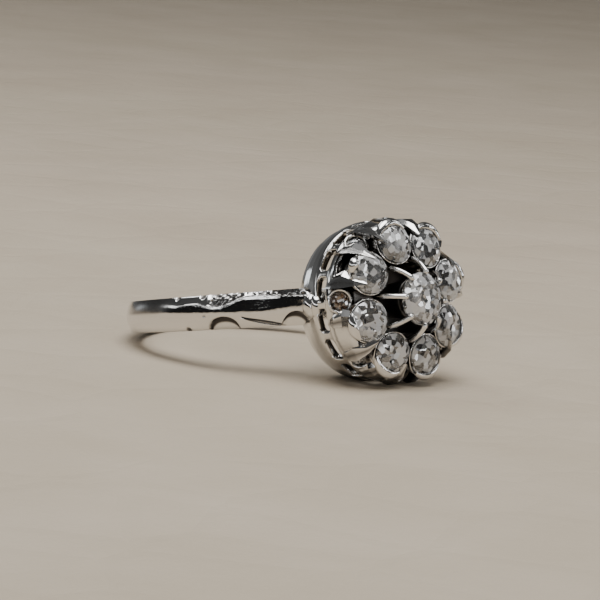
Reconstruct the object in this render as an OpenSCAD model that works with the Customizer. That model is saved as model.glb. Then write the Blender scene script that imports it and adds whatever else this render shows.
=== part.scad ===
// Cluster ring lying on its side: a carved white metal shank, a pierced gallery
// and a daisy of old-cut stones with a raised centre stone.
// Units are millimetres. The surface it lies on is Z = 0, the head points to -Y, and
// the origin is under the middle of its length.

/* [Shank] */
// Inside diameter of the ring
finger_d = 17; // [15:0.25:20]
// Thickness of the shank at the back
shank_t = 1.13; // [0.9:0.01:1.5]
// Width of the shank at the back
shank_w = 2.1; // [1.7:0.05:2.4]
// Width of the shank beside the gallery
front_w = 2.45; // [2.2:0.05:2.8]
// How far the outer curve of the shank bulges out past its side walls
shank_crown = 0.5; // [0.3:0.05:0.7]
// How far the outer curve is centred towards the head, which thickens the front
shank_shift = 0.31; // [0.1:0.01:0.5]

/* [Shoulders] */
// Angle from the head where a shoulder leaves the round of the shank
shoulder_at = 50; // [44:1:56]
// Thickness of a shoulder
shoulder_t = 1.3; // [1:0.05:1.6]
// Width of a shoulder
shoulder_w = 2.3; // [1.9:0.05:2.5]
// Diameter of the knuckle bead that ends a shoulder
bead_d = 1.9; // [1.6:0.05:2.2]
// Height of the bead's centre above the gallery's underside
bead_h = 1.75; // [1.4:0.05:2.1]
// Depth of the carved leaves
carve_depth = 0.16; // [0.08:0.01:0.25]

/* [Gallery] */
// Gap between the finger and the gallery's underside
gallery_gap = 0.1; // [0.05:0.01:0.4]
// Outer radius of the gallery's underside
base_r = 4.82; // [4.6:0.02:5]
// How far the crown wall stands out past the outer stones
crown_rim = 0.1; // [0.05:0.01:0.15]
// Height of the plain band above the underside
band_h = 2.4; // [2:0.05:2.6]
// Height of the pierced slots
slot_h = 0.9; // [0.6:0.05:1]
// Number of pierced slots
slot_count = 16; // [12:1:18]
// Share of the way round that the slots take up
slot_share = 0.72; // [0.5:0.01:0.8]
// Height of the crown wall above the slots
crown_h = 1.4; // [1.2:0.05:1.5]
// Diameter of the round windows under the outer stones
window_d = 0.9; // [0.6:0.05:1]
// Thickness of the gallery's walls
wall_t = 0.6; // [0.45:0.01:0.7]
// Thickness of the plate under the stones
plate_t = 0.3; // [0.2:0.01:0.4]

/* [Stones] */
// Diameter of the centre stone
centre_d = 3.6; // [3.2:0.05:3.8]
// Diameter of an outer stone
outer_d = 2.8; // [2.4:0.05:2.85]
// Diameter of an accent stone
accent_d = 1.2; // [1:0.05:1.3]
// Height of the centre stone's girdle above the gallery's underside
centre_h = 6.9; // [6.7:0.05:7.4]
// Height of the outer stones' girdles above the gallery's underside
outer_h = 5.7; // [5.6:0.05:5.9]
// Height of the accent stones' girdles above the gallery's underside
accent_h = 4.15; // [4.05:0.05:4.35]
// Distance of the outer stones from the head's axis
outer_r = 4; // [3.95:0.05:4.1]
// How far the accent stones are set in from the crown wall's outside
accent_in = 0.55; // [0.5:0.01:0.65]
// Outward tilt of the outer stones, in degrees
outer_tilt = 14; // [10:1:18]
// Outward tilt of the accent stones, in degrees
accent_tilt = 45; // [40:1:50]
// Gap between a stone and the metal that holds it
stone_gap = 0.05; // [0.03:0.01:0.08]

/* [Claws] */
// How far an outer claw stands out past the crown wall
claw_proud = 0.21; // [0.15:0.01:0.3]
// Radius of an outer claw's curved back
claw_curve = 2.08; // [2:0.01:2.2]
// Thickness of an outer claw
claw_t = 0.52; // [0.45:0.01:0.6]
// Width of an outer claw at its foot
claw_w = 0.95; // [0.8:0.05:1.1]
// Width of an outer claw at its tip
claw_tip_w = 0.3; // [0.2:0.05:0.5]
// Diameter of a centre claw
prong_d = 0.42; // [0.35:0.01:0.46]
// Radius of a centre claw's curve
prong_curve = 2.26; // [2.24:0.01:2.4]
// Number of centre claws
prong_count = 8; // [6:1:8]

/* [Hidden] */
$fn = 48;
eps = 0.02;

finger_r = finger_d / 2;

// Heights below are from the finger's centre, along the head's axis
base_h = finger_r + gallery_gap;
band_top = base_h + band_h;
slot_top = band_top + slot_h;
crown_top = slot_top + crown_h;
window_at = slot_top + plate_t + window_d / 2 + 0.02;
centre_at = base_h + centre_h;
outer_at = base_h + outer_h;
accent_at = base_h + accent_h;

// Distances from the head's axis
crown_r = outer_r + outer_d / 2 + crown_rim;
accent_r = crown_r - accent_in;
claw_reach = crown_r + claw_proud;

// The shank's outer curve is a disc whose rim is an arc
disc_r = finger_r + shank_t + shank_shift;
rim_arc = (pow(front_w / 2, 2) + pow(shank_crown, 2)) / (2 * shank_crown);
rim_centre = disc_r - rim_arc;
back_edge_r = rim_centre + sqrt(pow(rim_arc, 2) - pow(shank_w / 2, 2)) - shank_shift;
front_at = -base_h;

// Shoulders: an arc that leaves the shank's round and ends in the bead
shoulder_from = finger_r + shank_t * 0.7;
bead_at = base_h + bead_h;
bead_r = base_r + 0.15;
shoulder_dir = [sin(shoulder_at), cos(shoulder_at)];
bead_along = shoulder_dir * [bead_r, bead_at];
shoulder_arc = (pow(shoulder_from, 2) + pow(bead_r, 2) + pow(bead_at, 2)
    - 2 * shoulder_from * bead_along) / (2 * (bead_along - shoulder_from));
shoulder_centre = shoulder_dir * (shoulder_from + shoulder_arc);
shoulder_lead = 4;
shoulder_turn = 2 * (atan2(bead_at - shoulder_from * cos(shoulder_at),
    shoulder_from * sin(shoulder_at) - bead_r) - shoulder_at);

// Charted by hand round the head, in degrees from +X towards the top of the head:
// an outer stone, the claw before it and the claw after it
STONE = 0;
BEFORE = 1;
AFTER = 2;
chart = [
    [105, 97, 119],
    [151, 139, 164],
    [198, 191, 217],
    [242, 236, 256],
    [287, 284, 300],
    [331, 318, 343],
    [376, 363, 388],
    [421, 410, 438]];
outer_count = len(chart);
windows = [2];
function stone_angle(i) = chart[i - 1][STONE];

// An accent stone sits halfway between the claws of neighbouring stones
function accent_angle(i) =
    (chart[i - 1][AFTER] + chart[i % outer_count][BEFORE] + (i == outer_count ? 360 : 0)) / 2;
claw_angles = [for (row = chart) for (column = [BEFORE, AFTER]) row[column]];

claw_pivot_r = claw_reach - claw_curve;
claw_pivot_h = slot_top + 0.95;
claw_from = -30;
claw_to = 61;
claw_tip_r = claw_pivot_r + claw_curve * cos(claw_to);

// Centre claws stand on the inner ring and bend over the centre stone's girdle
prong_from = -14;
prong_to = 62;
prong_start = 128;
prong_pivot_r = centre_d / 2 - 1.26;
prong_pivot_h = centre_at - 1.54;
inner_ring_r = prong_pivot_r + prong_curve - 0.03;

// Ring under the outer stones
seat_in = outer_r - outer_d / 2 + 0.02;
seat_out = crown_r - 0.08;
seat_t = 1.05;

// Tubes round the accent stones
tube_t = 0.14;
tube_deep = 0.7;
tube_lip = 0.1;

function off_bottom(a) = abs(((a - 270 + 540) % 360) - 180);
foot_angle = min([for (a = claw_angles) off_bottom(a)]);

// The ring leans until the back of the shank and the two lowest claws touch Z = 0
lean_a = claw_pivot_r * cos(foot_angle) + claw_w / 2 * sin(foot_angle) - shank_w / 2;
lean_b = claw_pivot_h + back_edge_r;
lean_c = claw_curve * cos(foot_angle);
lean_q = pow(lean_b, 2) - pow(claw_curve, 2);
lean = atan((lean_a * lean_b + sqrt(pow(lean_a * lean_b, 2)
    - lean_q * (pow(lean_a, 2) - pow(lean_c, 2)))) / lean_q);
lift = back_edge_r * sin(lean) + shank_w / 2 * cos(lean);

// The lowest centre claw's tip and the back of the shank end the length, and the origin
// is under its middle
prong_off = min([for (k = [0:prong_count - 1]) off_bottom(prong_start + 360 / prong_count * k)]);
tip_r = prong_pivot_r + prong_curve * cos(prong_to);
tip_h = prong_pivot_h + prong_curve * sin(prong_to);
tip_along = cos(prong_off) * sin(lean) * cos(prong_to) + cos(lean) * sin(prong_to);
tip_across = sin(prong_off) * sin(lean);
front_y = tip_h * cos(lean) + tip_r * cos(prong_off) * sin(lean)
    + prong_d / 2 * sqrt(pow(tip_along, 2) + pow(tip_across, 2));
back_y = (rim_centre - shank_shift) * cos(lean) + rim_arc;
middle = (front_y - back_y) / 2;

// Shares of a stone's radius that shape an old cut
table_share = 0.56;
crown_share = 0.3;
break_share = 0.8;
girdle_share = 0.07;
pavilion_share = 0.86;
lower_share = 0.5;
culet_share = 0.12;

module rest() {
    translate([0, middle, lift]) rotate([-lean, 0, 0]) children();
}

// Head frame: X across, Y up the finger's axis, Z out along the head's axis
module head_frame() {
    rotate([90, 0, 0]) children();
}

module at_stone(angle, radius, height, tilt) {
    rotate([0, 0, angle]) translate([radius, 0, height]) rotate([0, tilt, 0]) children();
}

// One ring of points of a stone
function ring(count, start, radius, height) =
    [for (k = [0:count - 1]) [radius * cos(start + 360 / count * k),
        radius * sin(start + 360 / count * k), height]];

module old_cut(d) {
    r = d / 2;
    g = girdle_share * r / 2;
    slope = crown_share / (1 - table_share);
    main_slope = pavilion_share / (1 - culet_share * cos(22.5));
    mid_top = g + slope * r * (1 - break_share * cos(22.5));
    mid_low = -g - main_slope * r * (1 - lower_share * cos(22.5));
    points = concat(
        ring(8, 22.5, table_share * r, g + slope * r * (1 - table_share)),
        ring(8, 0, break_share * r, mid_top),
        ring(16, 0, r, g),
        ring(16, 0, r, -g),
        ring(8, 0, lower_share * r, mid_low),
        ring(8, 0, culet_share * r, -g - main_slope * r * (1 - culet_share * cos(22.5))));
    T = 0;
    U = 8;
    G = 16;
    H = 32;
    L = 48;
    C = 56;
    faces = concat(
        [[for (k = [7:-1:0]) T + k]],
        [for (k = [0:7]) [T + (k + 7) % 8, T + k, U + k]],
        [for (k = [0:7]) [T + k, U + (k + 1) % 8, G + 2 * k + 1, U + k]],
        [for (k = [0:7]) [U + k, G + 2 * k + 1, G + 2 * k]],
        [for (k = [0:7]) [U + k, G + 2 * k, G + (2 * k + 15) % 16]],
        [for (k = [0:15]) [G + k, G + (k + 1) % 16, H + (k + 1) % 16, H + k]],
        [for (k = [0:7]) [L + k, H + 2 * k, H + 2 * k + 1]],
        [for (k = [0:7]) [L + k, H + (2 * k + 15) % 16, H + 2 * k]],
        [for (k = [0:7]) [H + 2 * k + 1, L + (k + 1) % 8, C + (k + 1) % 8, C + k, L + k]],
        [[for (k = [0:7]) C + k]]);
    polyhedron(points = points, faces = faces, convexity = 2);
}

// The room a stone needs: its own form with the gap all round
module stone_room(d) {
    r = d / 2 + stone_gap;
    g = girdle_share * d / 4 + stone_gap;
    top = crown_share * d / 2;
    deep = pavilion_share * d / 2;
    table_r = table_share * r;
    translate([0, 0, g - eps]) cylinder(h = top + eps, r1 = r, r2 = table_r + stone_gap);
    translate([0, 0, -g]) cylinder(h = 2 * g, r = r);
    translate([0, 0, -g - deep]) cylinder(h = deep + eps, r1 = culet_share * r + stone_gap, r2 = r);
}

module centre_stone() {
    color("gainsboro") rest() head_frame() translate([0, 0, centre_at]) old_cut(centre_d);
}

module outer_stone(i) {
    color("lightgray") rest() head_frame()
        at_stone(stone_angle(i), outer_r, outer_at, outer_tilt) old_cut(outer_d);
}

module accent_stone(i) {
    color("rosybrown") rest() head_frame()
        at_stone(accent_angle(i), accent_r, accent_at, accent_tilt) old_cut(accent_d);
}

// Solid disc of the shank, with a domed rim and sides that spread to the front
module shank_disc() {
    intersection() {
        translate([0, -shank_shift, 0]) rotate_extrude($fn = 96) union() {
            translate([0, -front_w / 2]) square([rim_centre + rim_arc / 4, front_w]);
            intersection() {
                translate([rim_centre, 0]) circle(r = rim_arc, $fn = 96);
                translate([0, -front_w / 2]) square([disc_r + 1, front_w]);
            }
        }
        rotate([90, 0, 90]) translate([0, 0, -2 * finger_r]) linear_extrude(4 * finger_r)
            polygon([[back_edge_r + 2, -shank_w / 2], [back_edge_r, -shank_w / 2],
                [front_at, -front_w / 2], [front_at - 2, -front_w / 2],
                [front_at - 2, front_w / 2], [front_at, front_w / 2],
                [back_edge_r, shank_w / 2], [back_edge_r + 2, shank_w / 2]]);
    }
}

// A shoulder on the +X side: a domed strip bent away from the finger
module shoulder() {
    dome = (pow(shoulder_w / 2, 2) + pow(shank_crown, 2)) / (2 * shank_crown);
    translate([shoulder_centre[0], -shoulder_centre[1], 0])
        rotate([0, 0, 90 + shoulder_at - shoulder_lead])
            rotate_extrude(angle = shoulder_turn + shoulder_lead, $fn = 96) intersection() {
                translate([shoulder_arc - shoulder_t / 2 + dome, 0]) circle(r = dome, $fn = 96);
                translate([shoulder_arc - shoulder_t / 2, -shoulder_w / 2])
                    square([shoulder_t, shoulder_w]);
            }
}

// Charted by hand on a shoulder: angle from the head, distance from the mid-plane,
// length, width and the turn of each carved leaf
CARVE_AT = 0;
CARVE_Z = 1;
CARVE_L = 2;
CARVE_W = 3;
CARVE_TURN = 4;
carving = [
    [59.5, -0.78, 2.1, 0.62, 3],
    [42.5, -0.95, 2.9, 0.3, -12],
    [31.8, -0.7, 1.45, 0.66, 0],
    [75, -1.15, 0.6, 0.3, 35],
    [57, 0.82, 2.4, 0.56, -10],
    [38, 0.95, 2.9, 0.5, 6],
    [68, 1.15, 0.6, 0.34, 0],
    [80, 1.12, 0.6, 0.3, 0]];

// Radius of the metal's outside in a direction, given as an angle from the head
function round_at(a) = shank_shift * cos(a) + sqrt(pow(disc_r, 2) - pow(shank_shift * sin(a), 2));
function leaf_along(a) = shoulder_centre * [sin(a), cos(a)];
function leaf_at(a) = leaf_along(a) - sqrt(pow(shoulder_arc - shoulder_t / 2, 2)
    - shoulder_centre * shoulder_centre + pow(leaf_along(a), 2));
function outside_at(a) = a > shoulder_at ? round_at(a) : leaf_at(a);

// Carved leaves of the +X shoulder: lens-shaped recesses with flat floors
module carved_leaves() {
    for (leaf = carving) {
        a = leaf[CARVE_AT];
        z = leaf[CARVE_Z];
        arc = (pow(leaf[CARVE_L], 2) + pow(leaf[CARVE_W], 2)) / (4 * leaf[CARVE_W]);
        floor_r = outside_at(a) - pow(z, 2) / (2 * rim_arc) - carve_depth;
        rotate([0, 0, a - 90]) translate([floor_r, 0, z]) rotate([0, 90, 0])
            rotate([0, 0, leaf[CARVE_TURN]]) intersection_for (side = [-1, 1])
                translate([side * (arc - leaf[CARVE_W] / 2), 0, 0]) cylinder(h = 1, r = arc);
    }
}

module bead() {
    translate([bead_r, -bead_at, 0]) sphere(d = bead_d);
}

// Gallery wall: a flared band from the underside to the top of the crown
module gallery_wall() {
    flare_top = band_top - 0.15;
    flare = (crown_r - base_r) / (flare_top - base_h);
    rotate_extrude($fn = 96) polygon([
        [base_r - wall_t, base_h],
        [base_r, base_h],
        [crown_r, flare_top],
        [crown_r, crown_top],
        [crown_r - wall_t, crown_top],
        [crown_r - wall_t, band_top - 0.3],
        [base_r - wall_t + flare * 0.4, base_h + 0.6]]);
}

module slots() {
    span = 360 / slot_count;
    for (k = [0:slot_count - 1]) rotate([0, 0, span * (k + 0.5)])
        translate([crown_r - wall_t - 0.4, 0, 0]) rotate([0, 90, 0])
            translate([-(band_top + slot_top) / 2, 0, 0]) linear_extrude(wall_t + 1)
                square([slot_h, crown_r * sin(span * slot_share / 2) * 2], center = true);
}

// Open window in the crown wall, between the two claws of an outer stone
module window(i) {
    middle = (chart[i - 1][BEFORE] + chart[i - 1][AFTER]) / 2;
    rotate([0, 0, middle]) translate([crown_r - wall_t - 0.2, 0, window_at]) rotate([0, 90, 0])
        cylinder(h = wall_t + 1, d = window_d);
}

module outer_claw(angle) {
    rotate([0, 0, angle]) intersection() {
        translate([claw_pivot_r, 0, claw_pivot_h]) rotate([90, 0, 0])
            rotate([0, 0, claw_from]) rotate_extrude(angle = claw_to - claw_from, $fn = 96)
                translate([claw_curve - claw_t, -claw_w / 2]) square([claw_t, claw_w]);
        translate([0, 0, slot_top - 0.1]) linear_extrude(2 * claw_curve + 1)
            polygon([[claw_tip_r, -claw_tip_w / 2], [claw_reach - 0.3, -claw_w / 2],
                [claw_reach + 1, -claw_w / 2], [claw_reach + 1, claw_w / 2],
                [claw_reach - 0.3, claw_w / 2], [claw_tip_r, claw_tip_w / 2]]);
    }
}

module accent_tube(i) {
    at_stone(accent_angle(i), accent_r, accent_at, accent_tilt)
        translate([0, 0, -tube_deep]) cylinder(h = tube_deep + tube_lip, d = accent_d + 2 * tube_t);
}

// Clear sight over an accent stone
module accent_sight() {
    cylinder(h = 2, d = accent_d * 0.86);
}

// Ring that carries the outer stones, its top sloping with them
module seat_ring() {
    slope = tan(outer_tilt);
    rotate_extrude($fn = 96) polygon([
        [seat_in, outer_at + (outer_r - seat_in) * slope],
        [seat_out, outer_at - (seat_out - outer_r) * slope],
        [seat_out, crown_top - 0.4],
        [seat_in, outer_at - seat_t]]);
}

module plate() {
    translate([0, 0, slot_top + 0.05]) difference() {
        cylinder(h = plate_t, r = crown_r - 0.1, $fn = 96);
        for (i = [1:outer_count]) rotate([0, 0, stone_angle(i)])
            translate([outer_r - 0.3, 0, -1]) cylinder(h = 3, d = outer_d * 0.5);
        translate([0, 0, -1]) cylinder(h = 3, d = centre_d * 0.42);
    }
}

// Small tube under the centre stone, and the ring that carries the centre claws
module coronet() {
    height = centre_at - slot_top - 0.8;
    translate([0, 0, slot_top + 0.1]) difference() {
        cylinder(h = height, d1 = centre_d * 0.6, d2 = centre_d * 0.8);
        translate([0, 0, -1]) cylinder(h = height + 2, d = centre_d * 0.42);
    }
    rotate_extrude($fn = 96) translate([inner_ring_r, outer_at - 0.85]) circle(d = 0.5);
    for (k = [0:prong_count - 1])
        rotate([0, 0, prong_start + 360 / prong_count * k]) prong();
}

module prong() {
    translate([prong_pivot_r, 0, prong_pivot_h]) rotate([90, 0, 0]) rotate([0, 0, prong_from])
        rotate_extrude(angle = prong_to - prong_from, $fn = 96)
            translate([prong_curve, 0]) circle(d = prong_d);
}

module head_metal() {
    difference() {
        union() {
            gallery_wall();
            plate();
            coronet();
            seat_ring();
            for (i = [1:outer_count]) accent_tube(i);
            for (a = claw_angles) outer_claw(a);
        }
        slots();
        for (i = windows) window(i);
        translate([0, 0, centre_at]) stone_room(centre_d);
        for (i = [1:outer_count]) at_stone(stone_angle(i), outer_r, outer_at, outer_tilt)
            stone_room(outer_d);
        for (i = [1:outer_count]) at_stone(accent_angle(i), accent_r, accent_at,
            accent_tilt) union() {
                stone_room(accent_d);
                accent_sight();
            }
    }
}

module mount() {
    color("silver") rest() difference() {
        union() {
            difference() {
                union() {
                    shank_disc();
                    for (side = [0, 1]) mirror([side, 0, 0]) shoulder();
                    for (side = [0, 1]) mirror([side, 0, 0]) bead();
                }
                head_frame() translate([0, 0, base_h - 3])
                    cylinder(h = 10, r = base_r - wall_t + 0.1, $fn = 96);
            }
            head_frame() head_metal();
        }
        translate([0, 0, -10]) cylinder(h = 20, d = finger_d, $fn = 96);
        for (side = [0, 1]) mirror([side, 0, 0]) carved_leaves();
    }
}

mount();
centre_stone();
outer_stone(1);  // outer_stone_1
outer_stone(2);  // outer_stone_2
outer_stone(3);  // outer_stone_3
outer_stone(4);  // outer_stone_4
outer_stone(5);  // outer_stone_5
outer_stone(6);  // outer_stone_6
outer_stone(7);  // outer_stone_7
outer_stone(8);  // outer_stone_8
accent_stone(1);  // accent_stone_1
accent_stone(2);  // accent_stone_2
accent_stone(3);  // accent_stone_3
accent_stone(4);  // accent_stone_4
accent_stone(5);  // accent_stone_5
accent_stone(6);  // accent_stone_6
accent_stone(7);  // accent_stone_7
accent_stone(8);  // accent_stone_8
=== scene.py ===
import math

import bmesh
import bpy
import numpy as np
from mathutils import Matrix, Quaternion, Vector


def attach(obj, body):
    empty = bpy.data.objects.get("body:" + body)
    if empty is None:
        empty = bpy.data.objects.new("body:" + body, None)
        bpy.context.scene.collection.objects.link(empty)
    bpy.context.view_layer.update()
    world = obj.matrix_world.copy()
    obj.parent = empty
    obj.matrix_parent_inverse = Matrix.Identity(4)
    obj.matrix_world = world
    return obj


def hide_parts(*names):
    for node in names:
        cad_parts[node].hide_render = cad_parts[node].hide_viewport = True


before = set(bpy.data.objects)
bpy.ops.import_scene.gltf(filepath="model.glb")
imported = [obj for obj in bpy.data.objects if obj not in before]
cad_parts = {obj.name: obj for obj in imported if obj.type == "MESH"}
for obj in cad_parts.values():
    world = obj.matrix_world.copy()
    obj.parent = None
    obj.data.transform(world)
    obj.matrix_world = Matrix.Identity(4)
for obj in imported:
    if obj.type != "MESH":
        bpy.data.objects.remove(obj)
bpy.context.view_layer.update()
MM = 0.001


# In millimetres, as in the CAD: the finger hole, and the lean and the middle of the resting ring
FINGER_R = 8.5
LEAN = math.radians(11.8717)
LIFT = 2.93666
MIDDLE = 3.34064


def rest(points):
    """Ring frame (finger axis +Z, head towards -Y) to the frame that the ring rests in."""
    p = np.asarray(points, float)
    c, s = math.cos(LEAN), math.sin(LEAN)
    x, y, z = p[..., 0], p[..., 1], p[..., 2]
    return np.stack([x, y * c + z * s + MIDDLE, z * c - y * s + LIFT], -1)


def linear(hex_colour):
    """sRGB hex to linear RGBA."""
    values = [int(hex_colour[i:i + 2], 16) / 255 for i in (0, 2, 4)]
    return tuple(v / 12.92 if v < 0.04045 else ((v + 0.055) / 1.055) ** 2.4 for v in values) + (1,)


def new_material(name):
    """A material, its node tree and its shader."""
    material = bpy.data.materials.new(name)
    material.use_nodes = True
    tree = material.node_tree
    return material, tree, tree.nodes["Principled BSDF"]


# A Mix node set to colour has its two colours and its result on these sockets
MIX_SOCKETS = {"A": 6, "B": 7, "Result": 2}


def add(tree, kind, inputs=None, **settings):
    """One node, with its settings and its inputs: a value, or another node's output."""
    node = tree.nodes.new(kind)
    for key, value in settings.items():
        setattr(node, key, value)
    for key, value in (inputs or {}).items():
        key = MIX_SOCKETS.get(key, key) if kind == "ShaderNodeMix" else key
        if isinstance(value, bpy.types.NodeSocket):
            tree.links.new(value, node.inputs[key])
        else:
            node.inputs[key].default_value = value
    return node


def white_gold():
    """Cast, hand-cut and polished white gold: a mirror with hairline wear, its corners and hollows
    darkened by painted shade that stands partly for oxide."""
    material, tree, shader = new_material("polished_white_gold")
    shader.inputs["Metallic"].default_value = 1
    place = add(tree, "ShaderNodeTexCoord").outputs["Object"]
    # painted shade darkens corners less than a millimetre wide, partly standing for oxide there
    corner_shade = add(tree, "ShaderNodeAmbientOcclusion", {"Distance": 0.9 * MM}, samples=6,
                 only_local=False)
    patches = add(tree, "ShaderNodeTexNoise", {"Vector": place, "Scale": 1 / (0.5 * MM),
                                               "Detail": 4.0})
    wavy = add(tree, "ShaderNodeMath", {0: patches.outputs["Fac"], 1: 0.45, 2: -0.22},
               operation="MULTIPLY_ADD")
    unshaded_and_patchy = add(tree, "ShaderNodeMath", {0: corner_shade.outputs["AO"], 1: wavy.outputs[0]},
                   operation="ADD")
    unshaded_share = add(tree, "ShaderNodeMapRange", {"Value": unshaded_and_patchy.outputs[0], "From Min": 0.24,
                                              "From Max": 0.80})
    # and painted shade, partly polish residue, charted on the mesh itself: in the carving, inside
    # the band, on the claws and under the stones
    residue_and_shade = add(tree, "ShaderNodeAttribute", attribute_name="residue_and_shade")
    free = add(tree, "ShaderNodeMath", {0: 1.0, 1: residue_and_shade.outputs["Fac"]}, operation="SUBTRACT")
    lit_and_clean = add(tree, "ShaderNodeMath", {0: unshaded_share.outputs[0], 1: free.outputs[0]},
                operation="MULTIPLY")
    # the dark colour is painted shade, strongest in tight corners and where the mesh is charted as
    # shaded
    colour = add(tree, "ShaderNodeMix", {"Factor": lit_and_clean.outputs[0], "A": linear("2E2823"),
                                         "B": linear("E8E6E3")}, data_type="RGBA")
    tree.links.new(colour.outputs[MIX_SOCKETS["Result"]], shader.inputs["Base Color"])
    rough = add(tree, "ShaderNodeMapRange", {"Value": lit_and_clean.outputs[0], "To Min": 0.32,
                                             "To Max": 0.05})
    tree.links.new(rough.outputs[0], shader.inputs["Roughness"])
    # polishing swirls a sixth of a millimetre apart, and softer dents from wear
    swirl = add(tree, "ShaderNodeTexNoise", {"Vector": place, "Scale": 1 / (0.16 * MM),
                                             "Detail": 3.0, "Distortion": 1.5})
    dents = add(tree, "ShaderNodeTexNoise", {"Vector": place, "Scale": 1 / (1.1 * MM),
                                             "Detail": 2.0})
    fine = add(tree, "ShaderNodeBump", {"Height": swirl.outputs["Fac"], "Distance": 0.006 * MM,
                                        "Strength": 0.5})
    wide = add(tree, "ShaderNodeBump", {"Height": dents.outputs["Fac"], "Distance": 0.06 * MM,
                                        "Strength": 0.3, "Normal": fine.outputs["Normal"]})
    tree.links.new(wide.outputs["Normal"], shader.inputs["Normal"])
    return material


def diamond(name, colour, flash_and_cloud):
    """Old-cut diamond: the eye sees a grey veil broken into small flashes, white where a back
    facet returns the light and dark where it lets it through. The white flashes are painted as
    patches of diffuse colour, partly a milky cloud. Each patch tilts by its own few degrees."""
    material, tree, shader = new_material(name)
    shader.inputs["Base Color"].default_value = linear(colour)
    shader.inputs["IOR"].default_value = 2.42
    place = add(tree, "ShaderNodeTexCoord").outputs["Object"]
    patch = add(tree, "ShaderNodeTexVoronoi", {"Vector": place, "Scale": 1 / (0.38 * MM)})
    # painted flashes: patches that let less through show the stone's colour as diffuse light,
    # standing for light the back facets return, partly a milky cloud
    let_through = add(tree, "ShaderNodeMapRange", {"Value": patch.outputs["Color"],
                                                   "From Min": 0.42, "From Max": 0.58,
                                                   "To Min": 0.97, "To Max": 1 - flash_and_cloud})
    tree.links.new(let_through.outputs[0], shader.inputs["Transmission Weight"])
    # a slope of its own inside every patch
    across = add(tree, "ShaderNodeVectorMath", {0: place, 1: patch.outputs["Position"]},
                 operation="SUBTRACT")
    slope = add(tree, "ShaderNodeVectorMath", {0: patch.outputs["Color"], 1: (0.5, 0.5, 0.5)},
                operation="SUBTRACT")
    height = add(tree, "ShaderNodeVectorMath", {0: across.outputs[0], 1: slope.outputs[0]},
                 operation="DOT_PRODUCT")
    facets = add(tree, "ShaderNodeBump", {"Height": height.outputs["Value"], "Distance": 0.5,
                                          "Strength": 1.0})
    tree.links.new(facets.outputs["Normal"], shader.inputs["Normal"])
    # wear makes the surface a little duller in clouds of a millimetre
    haze = add(tree, "ShaderNodeTexNoise", {"Vector": place, "Scale": 1 / (1.2 * MM),
                                            "Detail": 2.0})
    rough = add(tree, "ShaderNodeMapRange", {"Value": haze.outputs["Fac"], "From Min": 0.35,
                                             "From Max": 0.7, "To Min": 0.0, "To Max": 0.05})
    tree.links.new(rough.outputs[0], shader.inputs["Roughness"])
    return material


gold = white_gold()
# each stone's colour shows in its painted flashes; the number is how much of them is diffuse
clear = diamond("old_cut_diamond", "FFFFFF", 0.5)
brown = diamond("brown_accent_diamond", "9C7D62", 0.3)
# every stone is clear but the accent stone beside the shoulder
finish = {"mount": gold, "accent_stone_2": brown}
for name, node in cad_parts.items():
    node.data.materials.clear()
    node.data.materials.append(finish.get(name, clear))


def cream_leather():
    """Pale tanned hide: matt, with a fine pebbled grain and a few soft creases."""
    material, tree, shader = new_material("cream_leather")
    place = add(tree, "ShaderNodeTexCoord").outputs["Object"]
    grain = add(tree, "ShaderNodeTexNoise", {"Vector": place, "Scale": 1 / (0.9 * MM),
                                             "Detail": 3.0})
    cloud = add(tree, "ShaderNodeTexNoise", {"Vector": place, "Scale": 1 / (14 * MM),
                                             "Detail": 4.0})
    crease = add(tree, "ShaderNodeTexVoronoi", {"Vector": place, "Scale": 1 / (9 * MM)},
                 feature="DISTANCE_TO_EDGE")
    fold = add(tree, "ShaderNodeMapRange", {"Value": crease.outputs["Distance"],
                                            "From Max": 0.12})
    colour = add(tree, "ShaderNodeMix", {"Factor": cloud.outputs["Fac"], "A": linear("B5A690"),
                                         "B": linear("CABCA8")}, data_type="RGBA")
    tree.links.new(colour.outputs[MIX_SOCKETS["Result"]], shader.inputs["Base Color"])
    shader.inputs["Roughness"].default_value = 0.7
    fine = add(tree, "ShaderNodeBump", {"Height": grain.outputs["Fac"], "Distance": 0.16 * MM,
                                        "Strength": 0.6})
    wide = add(tree, "ShaderNodeBump", {"Height": fold.outputs[0], "Distance": 0.22 * MM,
                                        "Strength": 0.5, "Normal": fine.outputs["Normal"]})
    tree.links.new(wide.outputs["Normal"], shader.inputs["Normal"])
    return material


def head(points):
    """Head frame (X across, Y up the finger's axis, Z out along the head's axis) to ring frame."""
    p = np.asarray(points, float)
    return np.stack([p[..., 0], -p[..., 2], p[..., 1]], -1)


def turned(x, y, z, angle):
    """Points turned about their frame's Z by an angle in radians."""
    return np.stack([x * math.cos(angle) - y * math.sin(angle),
                     x * math.sin(angle) + y * math.cos(angle), z + 0 * x], -1)


def at_stone(points, angle, radius, height, tilt):
    """Points of a stone's own frame to the ring frame."""
    p = np.asarray(points, float)
    t = math.radians(tilt)
    x = p[..., 0] * math.cos(t) + p[..., 2] * math.sin(t) + radius
    z = p[..., 2] * math.cos(t) - p[..., 0] * math.sin(t) + height
    return head(turned(x, p[..., 1], z, math.radians(angle)))


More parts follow.
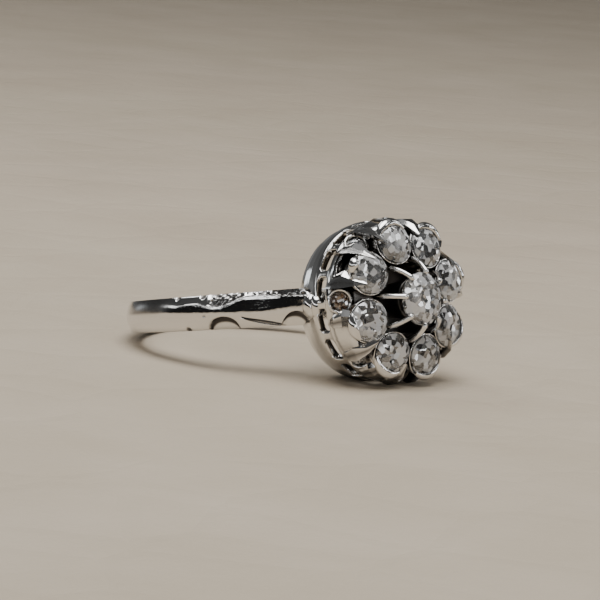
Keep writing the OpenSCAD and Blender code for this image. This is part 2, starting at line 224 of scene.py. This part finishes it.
def build(name, parts, material, sharp=32):
    """One object of the mount from grids in the ring frame. A part is its rows, each a loop of
    points, whether the last row joins the first, and the painted shade and residue on it, none if
    left out."""
    verts, faces, shade, base = [], [], [], 0
    for rows, closed, *residue_and_shade in parts:
        rows = np.asarray(rows, float)
        n, m = rows.shape[:2]
        verts.append(rows.reshape(-1, 3))
        shade.append(np.ravel(np.broadcast_to(residue_and_shade[0] if residue_and_shade else 0.0, (n, m))))
        i = np.arange(n if closed else n - 1)[:, None]
        j = np.arange(m)[None, :]
        k, l = (i + 1) % n, (j + 1) % m
        quads = np.stack([i * m + j, i * m + l, k * m + l, k * m + j], -1).reshape(-1, 4) + base
        faces += quads.tolist()
        if not closed:
            faces.append([base + q for q in range(m)][::-1])
            faces.append([base + (n - 1) * m + q for q in range(m)])
        base += n * m
    mesh = bpy.data.meshes.new(name)
    mesh.from_pydata((rest(np.concatenate(verts)) * MM).tolist(), [], faces)
    marks = mesh.attributes.new("residue_and_shade", "FLOAT", "POINT")
    marks.data.foreach_set("value", np.concatenate(shade))
    work = bmesh.new()
    work.from_mesh(mesh)
    bmesh.ops.recalc_face_normals(work, faces=work.faces)
    work.to_mesh(mesh)
    work.free()
    mesh.shade_smooth()
    mesh.set_sharp_from_angle(angle=math.radians(sharp))
    mesh.materials.append(material)
    obj = bpy.data.objects.new(name, mesh)
    bpy.context.scene.collection.objects.link(obj)
    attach(obj, "root")
    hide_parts("mount")
    return obj


def rounded(points, radius, steps=4):
    """A closed outline with each corner turned into an arc of about that radius."""
    p = np.asarray(points, float)
    out = []
    for k in range(len(p)):
        a, b, c = p[k - 1], p[k], p[(k + 1) % len(p)]
        u, v = (a - b) / np.linalg.norm(a - b), (c - b) / np.linalg.norm(c - b)
        half = math.acos(max(-1, min(1, float(u @ v)))) / 2
        room_left = 0.45 * min(np.linalg.norm(a - b), np.linalg.norm(c - b))
        cut = min(radius / math.tan(half), room_left)
        for t in np.linspace(0, 1, steps):
            out.append((1 - t) ** 2 * (b + u * cut) + 2 * t * (1 - t) * b + t * t * (b + v * cut))
    return np.array(out)


def lathe(outline, steps):
    """A closed (radius, height) outline turned about +Z."""
    a = np.radians(np.arange(steps) * 360 / steps)[:, None]
    r, h = outline[None, :, 0], outline[None, :, 1]
    return np.stack([r * np.cos(a), r * np.sin(a), h + 0 * a], -1)


def smooth(edge0, edge1, x):
    """0 to 1 from the first edge to the second, with soft ends."""
    t = np.clip((x - edge0) / (edge1 - edge0), 0, 1)
    return t * t * (3 - 2 * t)


# Shank: a round plate set off the finger hole's middle, with a domed outer side
DISC_R, SHIFT, DOME_R = 9.94, 0.31, 1.7506
# Shoulders: a hollow arc from the plate up to the bead beside the head
ARC_CENTRE, ARC_R = np.array([14.9071, 12.5085]), 9.5188
# The outer line is worked out round the finger hole as far as the first angle from the head,
# then round the arc's own centre. Further back than the second angle there is no hollow
ARC_FROM, HOLLOW_TO = math.radians(37), math.radians(50)
BEAD, BEAD_R = np.array([4.97, 10.35]), 0.95
# A height just past the shank's sides
SIDE = 1.3


def round_at(a):
    """Distance of the plate's edge from the finger hole's middle."""
    return SHIFT * np.cos(a) + np.sqrt(DISC_R ** 2 - (SHIFT * np.sin(a)) ** 2)


def hollow_at(a):
    """Distance of the shoulder's hollow arc from the finger hole's middle."""
    along = ARC_CENTRE[0] * np.sin(a) + ARC_CENTRE[1] * np.cos(a)
    return along - np.sqrt(np.maximum(ARC_R ** 2 - ARC_CENTRE @ ARC_CENTRE + along ** 2, 0))


def outer_path():
    """The shank's outer line on the +X side, from the back to the bead, as (x, h)."""
    a = np.linspace(math.pi, ARC_FROM, 600)
    # further back than the shoulder the hollow falls away and no longer counts
    hollow = hollow_at(np.minimum(a, HOLLOW_TO)) - 4 * np.maximum(a - HOLLOW_TO, 0)
    soft = 0.1
    r = soft * np.logaddexp(round_at(a) / soft, hollow / soft)
    first = np.stack([r * np.sin(a), r * np.cos(a)], -1)
    start = first[-1] - ARC_CENTRE
    end = BEAD - ARC_CENTRE
    g = np.linspace(math.atan2(start[1], start[0]), math.atan2(end[1], end[0]), 200)[1:]
    second = ARC_CENTRE + ARC_R * np.stack([np.cos(g), np.sin(g)], -1)
    into_bead = np.array([-0.5, 0.3])
    last = second[-1] + np.linspace(0, 1, 12)[1:, None] * into_bead
    return np.concatenate([first, second, last])


# Length of the hand-cut facets, and their random heights
CARVE_CELL = 0.17
FACET_HEIGHTS = np.random.default_rng(7).random((500, 80))


def chips(deg, z):
    """Hand-cut facets: random heights, 0.17 mm apart along the shank and 0.13 across it, joined
    by straight slopes, with veins that run aslant."""
    u = deg * math.radians(1) * DISC_R / CARVE_CELL + 20 + 0.8 * z
    v = (z + 2) / CARVE_CELL * 1.3
    u, v = np.broadcast_arrays(u, v)
    i, j = np.floor(u).astype(int), np.floor(v).astype(int)
    a, b = u - i, v - j
    n = FACET_HEIGHTS
    low = n[i, j] * (1 - a) + n[i + 1, j] * a
    high = n[i, j + 1] * (1 - a) + n[i + 1, j + 1] * a
    veins = np.abs((u * 0.45 + v * 0.3) % 1 - 0.5)
    return 0.65 * (low * (1 - b) + high * b) + 0.7 * veins


# Arched notches, open at the shank's lower edge: middle and half length in degrees from
# the head, and the height of the arch's top
NOTCHES = ((59.6, 6.6, -0.36), (31.7, 4.4, -0.28))
# Nicks in the edges: degrees from the head, side, depth
NICKS = ((80.2, 1, 0.16), (68.0, 1, 0.2), (75.5, -1, 0.2))
# The polished ribbon's upper edge: degrees from the head, height above the mid-plane
RIBBON = ((18, 0.5), (29.1, 0.61), (37.4, 0.74), (45.5, 0.82), (52.5, 0.76), (56.3, 0.42),
          (61.6, 0.2), (70, 0.51), (79, 0.475), (88, 0.3))
RIBBON_DEG = np.arange(0, 181, 0.5)
# the same line with its corners averaged over four degrees
RIBBON_LINE = np.convolve(np.pad(np.interp(RIBBON_DEG, *zip(*RIBBON)), 4, "edge"),
                          np.ones(9) / 9, "valid")
# How far the resting ring's lean turns the shoulder's side up: degrees from the head, degrees
LEANING = ((20, 2.5), (30, 3.2), (40, 5.3), (50, 7.6), (60, 5.9), (75, 3.1), (90, 0))
# The ribbon's face stands 8 degrees off upright as the ring rests, from where the dome stands
# 5 degrees off, and its upper edge 12.7, over this much to either side of the edge's line
FACE_LEAN, FACE_FROM, EDGE_LEAN, EDGE_HALF = 8, 5, 12.7, 0.1
# The engraved panels above it, in degrees from the head
PANELS = ((50.5, 66.0), (28.0, 50.0))
# A thin leaf cut from the middle of the shoulder down to its lower edge
LEAF_FROM, LEAF_TO = 51.7, 33.6
# A small pit in the polished side: degrees from the head, height
PIT = (67, -0.21)
NOTCH_DEPTH, LEAF_DEPTH, PIT_DEPTH = 0.42, 0.17, 0.04


def dome_drop(z):
    """How far the domed outer side falls off beside the mid-plane."""
    return DOME_R - np.sqrt(DOME_R ** 2 - np.clip(z, -1.4, 1.4) ** 2)


def carve(deg, z):
    """Depth of the carving and the painted shade and residue in it, by degrees from the head and
    height over the mid-plane.
    """
    depth = np.zeros(np.broadcast(deg, z).shape)
    residue_and_shade = np.zeros_like(depth)
    for middle, half, top in NOTCHES:
        u = (deg - middle) / half
        arch = -SIDE + (top + SIDE) * np.clip(1 - np.abs(u) ** 2.2, 0, 1) ** 0.5
        inside = smooth(0.04, -0.05, z - arch) * (np.abs(u) < 1)
        depth = np.maximum(depth, NOTCH_DEPTH * inside)
        # painted shade under the arch's top wall, fading further down the notch
        residue_and_shade = np.maximum(residue_and_shade, 0.95 * inside * smooth(-0.42, -0.26, z - arch))
    u = np.clip((LEAF_FROM - deg) / (LEAF_FROM - LEAF_TO), 0, 1)
    line = -0.46 - 0.72 * u ** 0.8
    width = 0.05 + 0.10 * np.sin(np.pi * u)
    leaf = ((deg < LEAF_FROM) & (deg > LEAF_TO)) * smooth(1, 0.3, np.abs(z - line) / width)
    depth = np.maximum(depth, LEAF_DEPTH * leaf)
    # painted shade in the leaf's cut, darker towards its upper side
    residue_and_shade = np.maximum(residue_and_shade, 0.8 * leaf * smooth(-0.6, 0.3, (z - line) / width))
    ribbon = np.interp(deg, RIBBON_DEG, RIBBON_LINE) + 0 * z
    panel = np.zeros_like(depth)
    for low, high in PANELS:
        panel = np.maximum(panel, smooth(low, low + 1.5, deg) * smooth(high, high - 2.5, deg))
    above = smooth(EDGE_HALF, EDGE_HALF + 0.06, z - ribbon)
    cut = chips(deg, z)
    depth = np.maximum(depth, panel * above * (0.10 + 0.16 * cut))
    # the engraved panels: painted shade, partly residue, darkest in the deepest chips
    residue_and_shade = np.maximum(residue_and_shade, panel * above * (0.4 + 0.5 * smooth(0.4, 0.7, cut)))
    # the ribbon's own face stands nearly upright under its edge
    lean = np.interp(deg, *zip(*LEANING)) + 0 * z
    start = DOME_R * np.sin(np.radians(FACE_FROM - lean))
    edge = np.maximum(ribbon - EDGE_HALF, start)
    face_z = np.clip(z, start, edge) - start
    edge_z = np.clip(z, edge, ribbon + EDGE_HALF) - edge
    raised = (dome_drop(z) - dome_drop(start) - np.tan(np.radians(FACE_LEAN - lean)) * face_z
              - np.tan(np.radians(EDGE_LEAN - lean)) * edge_z)
    on_face = smooth(ribbon + EDGE_HALF + 0.07, ribbon + EDGE_HALF, z) * smooth(82, 74, deg)
    raised = np.maximum(raised, 0) * (z > start) * on_face
    for middle, side, size in NICKS:
        d = np.hypot((deg - middle) / 1.6, (z - side * 1.2) / 0.34)
        depth = np.maximum(depth, size * smooth(1, 0.35, d))
        # painted shade in the nicks
        residue_and_shade = np.maximum(residue_and_shade, 0.9 * smooth(1, 0.5, d))
    # the upper side is darker and rougher where the shoulder ends
    dull = smooth(83, 92, deg) * smooth(125, 108, deg) * smooth(0.05, 0.3, z)
    residue_and_shade = np.maximum(residue_and_shade, 0.72 * dull)
    # painted shade in the pit
    pit = smooth(1, 0.3, np.hypot((deg - PIT[0]) / 0.9, (z - PIT[1]) / 0.13))
    return np.maximum(depth, PIT_DEPTH * pit) - raised, np.maximum(residue_and_shade, 0.4 * pit)


# Length of the carved end of each half, which has finer rows
CARVED = 13.6
# Nearer to the head than the first angle, the inner line's points spread out up to the second
INNER_FROM, INNER_TO = 50, 30.55
# Half the width at this distance behind the finger hole's middle, and how it grows from there
HALF_BACK, BACK, WIDENING = 1.05, 9.28, 0.00979
# The section's corners: rounded through 51 degrees, and met by the dome this far in from the
# side and this far out from where the rounding starts
CORNER, CORNER_TURN = 0.1, 51
DOME_IN, DOME_OUT = 0.037, 0.0777


def shank():
    """The shank with both shoulders, from bead to bead."""
    path = outer_path()
    step = np.r_[0, np.cumsum(np.linalg.norm(np.diff(path, axis=0), axis=1))]
    total = step[-1]
    s = np.concatenate([np.linspace(0, total - CARVED, 110, endpoint=False),
                        np.linspace(total - CARVED, total, 262)])
    outer = np.stack([np.interp(s, step, path[:, 0]), np.interp(s, step, path[:, 1])], -1)
    deg = np.degrees(np.arctan2(outer[:, 0], outer[:, 1]))
    turn = np.interp(-INNER_FROM, -deg, s)
    share = (total - s) / (total - turn)
    inner_deg = np.where(s < turn, deg, INNER_TO + (INNER_FROM - INNER_TO) * share)
    inner = FINGER_R * np.stack([np.sin(np.radians(inner_deg)), np.cos(np.radians(inner_deg))], -1)
    across = outer - inner
    length = np.linalg.norm(across, axis=1)
    across /= length[:, None]
    half = HALF_BACK + (outer[:, 1] + BACK) * WIDENING
    # the very end narrows into the bead
    half = half - 0.4 * smooth(total - 0.75, total - 0.35, s)
    L, W, D = length[:, None], half[:, None], deg[:, None]

    # one loop of the section: height z, and distance q out from the finger hole's wall
    one = np.ones((len(s), 1))
    t = np.radians(np.linspace(0, 90, 5))[None, :]
    top = np.radians(np.linspace(0, CORNER_TURN, 6))[None, :]
    z_parts = [np.linspace(-1, 1, 9)[None, :] * (W - CORNER),
               W - CORNER + CORNER * np.sin(t),
               W * np.ones((1, 6)),
               W - CORNER + CORNER * np.cos(top)]
    edge_q = L - dome_drop(W - DOME_IN) - DOME_OUT
    q_parts = [one * np.zeros((1, 9)),
               one * (CORNER - CORNER * np.cos(t)),
               CORNER + (edge_q - CORNER) * np.linspace(0.1, 0.95, 6)[None, :],
               edge_q + CORNER * np.sin(top)]
    dome = np.linspace(1, -1, 84)[None, 1:-1] * (W - DOME_IN)
    z_parts.append(dome)
    q_parts.append(L - dome_drop(dome))
    # the lower side mirrors the upper one
    for k in (3, 2, 1):
        z_parts.append(-z_parts[k][:, ::-1])
        q_parts.append(q_parts[k][:, ::-1])
    z = np.concatenate([one * p for p in z_parts], 1)
    q = np.concatenate(q_parts, 1)
    # the carving cuts the dome and the sides, and leaves the finger hole's wall alone
    depth, residue_and_shade = carve(D, z)
    residue_and_shade = residue_and_shade * (q > 0.4)
    carved = L - dome_drop(np.clip(z, -SIDE, SIDE)) - depth
    on_dome = np.abs(q - (L - dome_drop(z))) < 1e-6
    cut = np.where(on_dome, carved, np.where(q < 0.25, q, np.minimum(q, carved)))
    x = inner[:, :1] + across[:, :1] * cut
    h = inner[:, 1:] + across[:, 1:] * cut
    # from one bead round the back to the other
    rows = np.concatenate([np.stack([-x, -h, z], -1)[::-1], np.stack([x, -h, z], -1)[1:]])
    return rows, False, np.concatenate([residue_and_shade[::-1], residue_and_shade[1:]])


FLUTES, FLUTE_DEPTH = 6, 0.13
# The gallery's inner wall: heights on the head's axis, and its radius at each
WALL = [8.6, 9.2, 10.7, 11.0], [4.22, 4.4, 4.88, 4.9]


def fluted_bead(side):
    """Knuckle bead with grooves that run up and down the finger's axis."""
    lat = np.radians(np.linspace(-89.5, 89.5, 40))[:, None]
    lon = np.radians(np.arange(180) * 2)[None, :]
    groove = (1 - np.abs(np.cos(FLUTES / 2 * lon))) ** 2 * np.cos(lat) ** 2
    radius = BEAD_R * (1 - FLUTE_DEPTH * groove)
    x = side * BEAD[0] + radius * np.cos(lat) * np.cos(lon)
    y = -BEAD[1] + radius * np.cos(lat) * np.sin(lon)
    z = radius * np.sin(lat) + 0 * lon
    # its inner part ends within the gallery's wall
    buried = 0.08 + np.interp(-y, *WALL)
    stretch = np.maximum(1, buried / np.hypot(x, z))
    return np.stack([x * stretch, y, z * stretch], -1), False


# Where the stones stand in the head: radius, height, tilt outwards
OUTER_PLACE = (4.0, 14.3, 14)
ACCENT_PLACE = (4.95, 12.75, 45)
# Degrees round the head: each outer stone, and the claws before and after it
CHART = [(105, 97, 119), (151, 139, 164), (198, 191, 217), (242, 236, 256),
         (287, 284, 300), (331, 318, 343), (376, 363, 388), (421, 410, 438)]
STONE, BEFORE, AFTER = 0, 1, 2
OUTER_STONES = range(len(CHART))
# The outer stone over the window in the crown wall
WINDOW = 1
POSTS = 16
# Painted shade and residue below zero: metal under a stone, which stays bright however deep it
# lies, clear of the painted corner shade
BRIGHT = -9


def accent_angle(i):
    """Half way from the claw after an outer stone to the one before the next."""
    following = CHART[i + 1][BEFORE] if i + 1 < len(CHART) else CHART[0][BEFORE] + 360
    return (CHART[i][AFTER] + following) / 2


def round_part(outline, steps, residue_and_shade=0.0):
    """A part of the head that is lathed about its axis."""
    return head(lathe(outline, steps)), True, residue_and_shade


def band():
    """Base band of the gallery, its inside painted dark as shade."""
    steps = 6
    outline = [(4.22, 8.6), (4.76, 8.6), (5.0, 8.95), (5.2, 9.45), (5.38, 10.1), (5.47, 10.6),
               (5.5, 11.0), (4.9, 11.0), (4.88, 10.7), (4.4, 9.2)]
    inside = np.array([0.0] * 7 + [0.9] * 3).repeat(steps)
    return round_part(rounded(outline, 0.6, steps), 240, inside)


def post(k):
    """One of the posts between the slots, wider at both ends."""
    rows = []
    for t in np.linspace(-1.1, 1.1, 13):
        w = 0.24 + 0.22 * abs(t) ** 5
        outline = rounded([(4.95, -w), (5.47, -w), (5.47, w), (4.95, w)], 0.1)
        rows.append(turned(outline[:, 0], outline[:, 1], 11.45 + 0.45 * t,
                           math.radians(360 / POSTS * k)))
    return head(np.array(rows)), False


def crown_rail():
    """Rail that the posts carry."""
    outline = [(4.93, 11.88), (5.48, 11.88), (5.46, 12.2), (5.3, 12.42), (4.93, 12.42)]
    return round_part(rounded(outline, 0.07), 240)


def cup(i):
    """Collet of an outer stone, its rim just under the girdle."""
    outline = rounded([(0.95, -2.15), (1.16, -2.15), (1.34, -1.2), (1.47, -0.4), (1.5, -0.1),
                       (1.41, -0.08), (1.36, -0.25), (1.0, -0.9), (0.7, -1.6)], 0.05, 4)
    # the first half of the outline runs up the outside
    outside = np.arange(len(outline)) < len(outline) / 2
    # painted shade darkens the outside towards its foot, under the stone; the inside stays bright
    residue_and_shade = np.where(outside, 0.9 * smooth(-0.35, -0.75, outline[:, 1]), BRIGHT)
    return at_stone(lathe(outline, 96), CHART[i][STONE], *OUTER_PLACE), True, residue_and_shade


# How far a rolled lip covers each outer stone's edge, as a half angle round the stone
LIPS = (62, 24, 40, 58, 55, 50, 50, 62)


def lip(i):
    """Rolled edge pressed over the outer side of a stone, thick in the middle."""
    half = LIPS[i]
    ring = np.radians(np.arange(16) * 360 / 16)
    rows = []
    for turn in np.linspace(-half, half, 40):
        share = math.cos(math.radians(turn / half * 86))
        thick, wide = 0.08 + 0.16 * share, 0.11 + 0.2 * share
        r = 1.41 + wide * np.cos(ring)
        h = 0.08 + 0.13 * share + thick * np.sin(ring) - 0.30 * (r - 1.3)
        rows.append(turned(r, 0, h, math.radians(turn)))
    return at_stone(np.array(rows), CHART[i][STONE], *OUTER_PLACE), False


def petal(i):
    """Crown wall under an outer stone, bulging between its two claws, or a low sill under the
    window."""
    first, last = CHART[i][BEFORE] - 2, CHART[i][AFTER] + 2
    rows = []
    for share in np.linspace(-1, 1, 33):
        swell = 1 - share ** 2
        top = 12.55 + 0.25 * abs(share) if i == WINDOW else 13.45 + 0.38 * swell
        out = 5.38 + 0.14 * swell
        lean_in = 0.35 * (top - 12.3)
        outline = rounded([(4.95, 12.0), (5.42, 12.0), (out + 0.05, 12.5),
                           (out - 0.15 * lean_in, top - 0.35), (out - 0.5 * lean_in, top),
                           (out - 0.5 * lean_in - 0.3, top - 0.05), (4.95, 12.6)], 0.09)
        turn = (first + last) / 2 + share * (last - first) / 2
        rows.append(turned(outline[:, 0], 0, outline[:, 1], math.radians(turn)))
    return head(np.array(rows)), False


def accent_tube(i):
    """Small tube round an accent stone."""
    outline = rounded([(0.55, -0.95), (0.74, -0.95), (0.84, -0.2), (0.88, 0.1), (0.76, 0.24),
                       (0.63, 0.12), (0.6, -0.05), (0.45, -0.5)], 0.08)
    return at_stone(lathe(outline, 48), accent_angle(i), *ACCENT_PLACE), True


# A claw's back follows a curve of this radius round a point at (radius, height)
CLAW_PIVOT, CLAW_CURVE = (3.63, 12.85), 2.08
# Along it: angle on the curve, and how far its upper and its lower edge stand from the middle,
# as shares of the claw's own half width
CLAW_ROWS = ((-30, 0.5, 0.6), (-8, 0.85, 0.8), (14, 1.2, 0.8), (42, 0.7, 0.45), (67, 0.08, 0.06))
HALF_WIDTH = {BEFORE: 0.56, AFTER: 0.66}
FACE_TILT, CHAMFER = math.tan(math.radians(10)), 0.42


def claw(angle, half):
    """Hand-cut claw: a flat kite with bright chamfers along its two upper edges, its point over
    the girdle, its face and underside painted dark as shade. The chamfers lie on the side towards
    the top of the ring as it rests."""
    a = math.radians(angle)
    side = -1 if math.cos(a) < 0 else 1
    # filed at one angle under the claws at the very top, steeper the lower the claw stands
    steep = math.tan(math.radians(34 if math.sin(a) > 0.85 else 38 - 24 * math.sin(a)))
    rows = []
    for beta, upper, lower in CLAW_ROWS:
        b = math.radians(beta)
        wide, low = half * upper, half * lower
        flat = max(wide - CHAMFER, 0.2 * wide)
        fall = (flat + low) * FACE_TILT
        edge = fall + (wide - flat) * steep
        t = side * np.array([-low, 0.5 * (flat - low), flat, wide, 0.9 * wide, -0.8 * low])
        radius = CLAW_CURVE - np.array([0, 0.5 * fall, fall, edge, edge + 0.3, 0.35])
        r = CLAW_PIVOT[0] + radius * math.cos(b)
        h = CLAW_PIVOT[1] + radius * math.sin(b)
        rows.append(turned(r, t, h, a))
    # painted shade: the face's middle and the underside dark, the chamfers clean
    return head(np.array(rows)), False, np.array([0.1, 0.8, 0, 0, 0.9, 0.9])


def seat():
    """Metal between and under the outer stones, painted dark as shade."""
    return round_part(rounded([(2.62, 13.35), (2.66, 13.95), (3.2, 13.9), (4.25, 13.45),
                               (4.35, 13.1), (4.1, 12.8)], 0.1), 160, 0.75)


def plate():
    """Floor of the head, painted dark as shade."""
    return round_part(np.array([(0.76, 11.97), (5.2, 11.97), (5.2, 12.2), (0.76, 12.2)]), 96, 0.92)


def centre_tube():
    """Tube under the centre stone, painted dark as shade."""
    return round_part(rounded([(0.76, 12.0), (1.08, 12.0), (1.42, 14.7), (0.9, 14.7)], 0.06),
                      96, 0.85)


def inner_ring():
    """Wire ring that ties the thin claws together, painted a little dark as shade."""
    a = np.radians(np.arange(20) * 18)
    return round_part(np.stack([2.77 + 0.25 * np.cos(a), 13.45 + 0.25 * np.sin(a)], -1),
                      120, 0.35)


# The thin claws' curve, and their thickness by the angle on it
PRONG_PIVOT, PRONG_CURVE = (0.54, 13.96), 2.26
PRONG_SIZES = [-14, 20, 45, 56, 60, 61], [0.21, 0.19, 0.18, 0.21, 0.15, 0.05]
PRONGS, FIRST_PRONG = 8, 128


def prong(k):
    """Thin claw of the centre stone, with a bead at its tip."""
    angle = math.radians(FIRST_PRONG + 360 / PRONGS * k)
    ring = np.radians(np.arange(14) * 360 / 14)
    rows = []
    for beta in np.linspace(-14, 61, 26):
        b = math.radians(beta)
        size = np.interp(beta, *PRONG_SIZES)
        radius = PRONG_CURVE + size * np.cos(ring)
        r = PRONG_PIVOT[0] + radius * math.cos(b)
        h = PRONG_PIVOT[1] + radius * math.sin(b)
        rows.append(turned(r, size * np.sin(ring), h, angle))
    return head(np.array(rows)), False


build("shank", [shank()], gold, 40)
build("beads", [fluted_bead(1), fluted_bead(-1)], gold)
build("gallery", [band(), crown_rail()] + [post(k) for k in range(POSTS)], gold, 40)
build("cups", [make(i) for make in (cup, petal, lip) for i in OUTER_STONES], gold, 40)
build("accent_tubes", [accent_tube(i) for i in OUTER_STONES], gold, 40)
build("outer_claws", [claw(row[k], HALF_WIDTH[k]) for row in CHART for k in (BEFORE, AFTER)],
      gold, 20)
build("coronet", [seat(), plate(), centre_tube(), inner_ring()]
      + [prong(k) for k in range(PRONGS)], gold, 40)

# Floor
bpy.ops.mesh.primitive_plane_add(size=3)
floor = bpy.context.object
floor.name = "floor"
floor.data.materials.append(cream_leather())

# The room as the metal mirrors it, by the sine of the height above the horizon: on the
# camera's side a dark band with a line of windows over it, on the far side a dim wall, to the
# right of the camera one large window with bars, and a pale ceiling over all
CEILING = ((0.78, 0.07), (0.85, 0.3), (1.0, 0.35))
FRONT = ((0.0, 0.01), (0.24, 0.012), (0.27, 2.6), (0.33, 2.2), (0.36, 0.07)) + CEILING
REAR = ((0.0, 0.16), (0.10, 0.20), (0.16, 0.12), (0.5, 0.05)) + CEILING
WINDOW_SIDE = ((0.0, 0.02), (0.05, 0.03), (0.09, 7.0), (0.7, 6.0), (0.74, 0.06)) + CEILING
TOWARDS_CAMERA = (-0.68, -0.73, 0)
TOWARDS_WINDOW = (0.6, -0.8, 0)
TOWARDS_DOORWAY = (-0.04, 0.996, 0.075)

world = bpy.data.worlds.new("studio")
bpy.context.scene.world = world
world.use_nodes = True
studio = world.node_tree
outwards = add(studio, "ShaderNodeTexCoord").outputs["Generated"]
rise = add(studio, "ShaderNodeSeparateXYZ", {"Vector": outwards}).outputs["Z"]


def room_side(stops):
    """One side of the room, from its heights and how bright it is there, a little bluish."""
    ramp = add(studio, "ShaderNodeValToRGB", {"Fac": rise})
    elements = ramp.color_ramp.elements
    while len(elements) < len(stops):
        elements.new(0.5)
    for element, (place, value) in zip(elements, stops):
        element.position = place
        element.color = (value * 0.97, value * 0.985, value, 1)
    return ramp.outputs["Color"]


def overlaid(room, side, direction, low, high):
    """The room with a side of it laid over, more and more as the cosine of the angle to that
    side's direction goes from the lower number to the higher one."""
    along = add(studio, "ShaderNodeVectorMath", {0: outwards, 1: direction},
                operation="DOT_PRODUCT")
    share = add(studio, "ShaderNodeMapRange", {"Value": along.outputs["Value"], "From Min": low,
                                               "From Max": high}, interpolation_type="SMOOTHSTEP")
    laid = add(studio, "ShaderNodeMix", {"Factor": share.outputs[0], "A": room, "B": side},
               data_type="RGBA")
    return laid.outputs[MIX_SOCKETS["Result"]]


def sparks(size, lowest):
    """Patches of so many degrees, some bright and the others at the lowest value."""
    cells = add(studio, "ShaderNodeTexVoronoi", {"Vector": outwards,
                                                 "Scale": 1 / math.radians(size)})
    lit = add(studio, "ShaderNodeMapRange", {"Value": cells.outputs["Color"], "From Min": 0.5,
                                             "From Max": 0.6, "To Min": lowest, "To Max": 1.0})
    return lit.outputs[0]


room = overlaid(room_side(REAR), room_side(FRONT), TOWARDS_CAMERA, -0.35, 0.05)
# leaves and glazing bars break the window up into patches of ten degrees, and those into
# sparks of three or four
lit = add(studio, "ShaderNodeMath", {0: sparks(10, 0.02), 1: sparks(3.5, 0.05)},
          operation="MULTIPLY")
window = add(studio, "ShaderNodeMix", {"Factor": 1.0, "A": room_side(WINDOW_SIDE),
                                       "B": lit.outputs[0]},
             data_type="RGBA", blend_type="MULTIPLY")
room = overlaid(room, window.outputs[MIX_SOCKETS["Result"]], TOWARDS_WINDOW, 0.5, 0.6)
# a doorway low on the far side, for the short streak on the gallery
room = overlaid(room, (1.6, 1.7, 1.8, 1), TOWARDS_DOORWAY, 0.9945, 0.997)
studio.links.new(room, studio.nodes["Background"].inputs["Color"])


def area_light(name, place, aim, size, power, spread):
    """Round lamp that points at a spot, its light held within so many degrees."""
    light = bpy.data.lights.new(name, "AREA")
    light.shape = "DISK"
    light.size = size
    light.energy = power
    light.spread = math.radians(spread)
    obj = bpy.data.objects.new(name, light)
    bpy.context.scene.collection.objects.link(obj)
    obj.location = place
    obj.rotation_mode = "QUATERNION"
    obj.rotation_quaternion = (Vector(aim) - Vector(place)).to_track_quat("-Z", "Y")


# the ceiling's lamp has a narrow beam, so that the leather darkens towards the back
area_light("ceiling", (-0.03, -0.05, 0.36), (-0.02, -0.03, 0), 0.3, 0.57, 112)
area_light("back_window", (-0.02, 0.23, 0.26), (0, 0, 0.005), 0.17, 0.25, 180)

# Camera: fitted to the shank and the head in the photograph, then set about a degree higher
AZIMUTH, ELEVATION, ROLL = math.radians(-43), math.radians(9.0), math.radians(4.29)
DISTANCE = 0.26
# Its focal length and shifts in pixels of a picture this wide, and the sensor in millimetres
FOCAL, SHIFTS, PICTURE = 3723, (34.3, 8.3), 600
SENSOR = 36
back_vector = Vector((math.sin(AZIMUTH) * math.cos(ELEVATION),
                      -math.cos(AZIMUTH) * math.cos(ELEVATION), math.sin(ELEVATION)))
camera = bpy.data.objects.new("camera", bpy.data.cameras.new("camera"))
bpy.context.scene.collection.objects.link(camera)
bpy.context.scene.camera = camera
camera.data.sensor_width = SENSOR
camera.data.lens = SENSOR * FOCAL / PICTURE
camera.data.shift_x = SHIFTS[0] / PICTURE
camera.data.shift_y = SHIFTS[1] / PICTURE
camera.data.clip_start = 0.01
camera.location = Vector((0, MIDDLE * MM, LIFT * MM)) + back_vector * DISTANCE
camera.rotation_mode = "QUATERNION"
camera.rotation_quaternion = ((-back_vector).to_track_quat("-Z", "Y")
                              @ Quaternion((0, 0, 1), ROLL))
